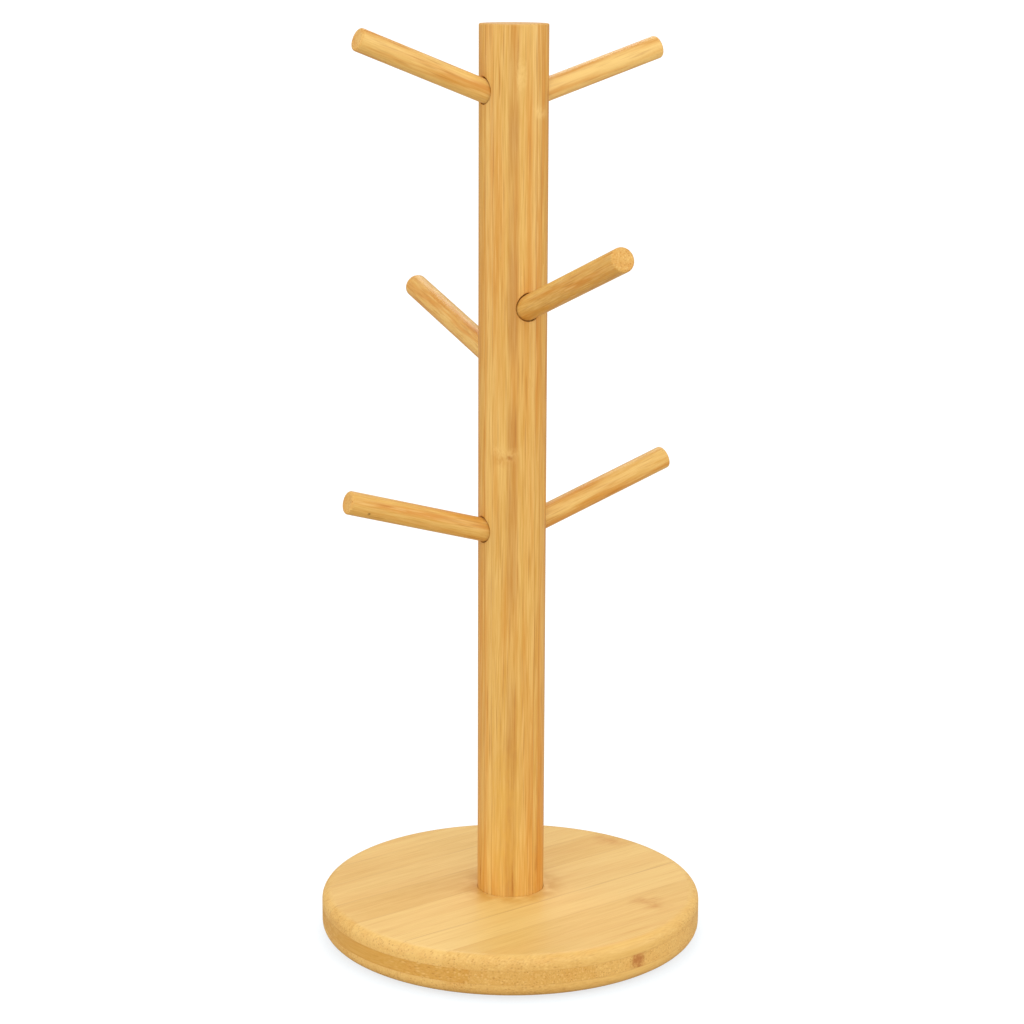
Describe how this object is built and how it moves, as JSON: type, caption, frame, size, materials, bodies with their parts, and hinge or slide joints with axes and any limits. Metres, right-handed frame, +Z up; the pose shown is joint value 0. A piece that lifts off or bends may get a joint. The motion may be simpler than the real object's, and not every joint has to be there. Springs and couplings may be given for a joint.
{
  "type": "mug tree",
  "caption": "Free-standing bamboo mug tree: round base board, central post and upward-tilted round pegs to hang mugs on by their handles.",
  "frame": {"origin": "middle of the underside, in the plane of the pad soles that rest on the table", "axes": "+Z up along the post; -Y is the front, the side that the longest visible peg points to; +X is to the right seen from the front"},
  "size_m": [0.16, 0.1604, 0.38],
  "materials": {
    "bamboo_board": "satin lacquer on laminated bamboo, three plies",
    "bamboo_post": "satin lacquer on laminated bamboo, grain along the post",
    "bamboo_peg": "satin lacquer on bamboo, grain along the peg, open end grain at the tip",
    "zinc_steel": "bright zinc plate",
    "pad_rubber": "matte foamed rubber"
  },
  "bodies": {
    "root": {"base_board": "bamboo_board", "post": "bamboo_post", "peg_top_front": "bamboo_peg", "peg_top_back": "bamboo_peg", "peg_middle_front": "bamboo_peg", "peg_middle_back": "bamboo_peg", "peg_bottom_front": "bamboo_peg", "peg_bottom_back": "bamboo_peg", "stud_top_front": "zinc_steel", "stud_top_back": "zinc_steel", "stud_middle_front": "zinc_steel", "stud_middle_back": "zinc_steel", "stud_bottom_front": "zinc_steel", "stud_bottom_back": "zinc_steel", "base_screw": "zinc_steel", "base_washer": "zinc_steel", "foot_pad_1": "pad_rubber", "foot_pad_2": "pad_rubber", "foot_pad_3": "pad_rubber", "foot_pad_4": "pad_rubber"}
  },
  "joints": []
}
